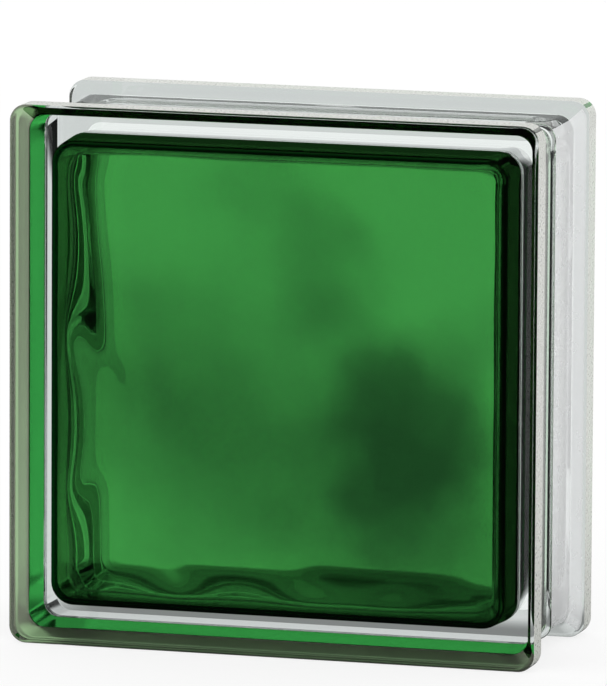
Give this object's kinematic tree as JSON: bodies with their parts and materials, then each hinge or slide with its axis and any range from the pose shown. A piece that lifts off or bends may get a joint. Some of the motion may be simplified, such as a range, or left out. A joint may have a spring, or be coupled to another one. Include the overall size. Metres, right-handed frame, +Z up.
{
  "type": "glass block",
  "caption": "Square hollow glass block for walls, with pillowed inner faces, a green coat behind the front face and a mortar channel all round.",
  "frame": {"origin": "on the floor under the block's centre, midway between the two faces", "axes": "+Z up, +Y from the coated front face to the clear rear face, +X to the right seen from the front"},
  "size_m": [0.19, 0.08, 0.19],
  "materials": {
    "coated_glass": "clear pressed glass, with a green translucent coat on the inside",
    "clear_glass": "clear pressed glass, fire polished outside"
  },
  "bodies": {
    "root": {"front_shell": "coated_glass", "rear_shell": "clear_glass"}
  },
  "joints": []
}
